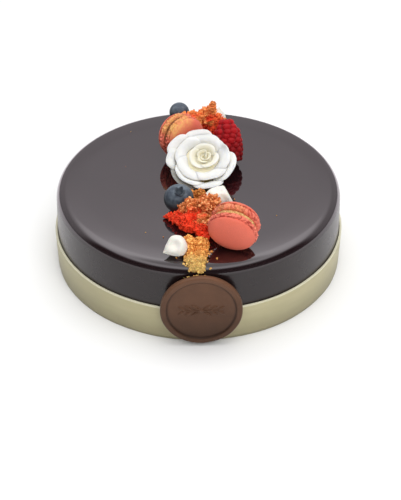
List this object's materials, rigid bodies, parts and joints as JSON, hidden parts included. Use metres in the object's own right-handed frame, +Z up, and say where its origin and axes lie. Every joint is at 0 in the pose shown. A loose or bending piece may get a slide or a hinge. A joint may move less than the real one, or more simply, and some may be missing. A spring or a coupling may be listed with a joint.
{
  "type": "ice cream cake",
  "caption": "Round chocolate-glazed ice cream cake with a pale chocolate band, a round medallion and a line of toppings across its top, a dessert that stands on its flat base.",
  "frame": {"origin": "centre of the cake's base, on the surface it stands on", "axes": "+Z up, -Y towards the medallion on the front, +X to the right seen from the front"},
  "size_m": [0.2, 0.2055, 0.0889],
  "materials": {
    "glaze": "mirror gloss chocolate glaze",
    "band_chocolate": "satin pale chocolate band",
    "medallion_chocolate": "satin moulded chocolate",
    "macaron_shell": "smooth baked shell with a ruffled foot",
    "macaron_filling": "soft cream",
    "sugar_rose": "satin sugar paste",
    "meringue": "dry matt meringue",
    "raspberry_skin": "soft glossy drupelets",
    "blueberry_skin": "dull bloom over a dark skin",
    "sponge": "open torn sponge",
    "crumb": "dry biscuit crumb"
  },
  "bodies": {
    "root": {"cake": "glaze", "side_band": "band_chocolate", "medallion": "medallion_chocolate", "macaron_front_near_shell": "macaron_shell", "macaron_front_far_shell": "macaron_shell", "macaron_front_filling": "macaron_filling", "macaron_back_near_shell": "macaron_shell", "macaron_back_far_shell": "macaron_shell", "macaron_back_filling": "macaron_filling", "rose": "sugar_rose", "raspberry": "raspberry_skin", "blueberry_front": "blueberry_skin", "blueberry_back": "blueberry_skin", "meringue_left": "meringue", "meringue_right": "meringue", "meringue_back": "meringue", "sponge_front": "sponge", "sponge_back": "sponge", "crumb_front": "crumb", "crumb_middle": "crumb"}
  },
  "joints": []
}
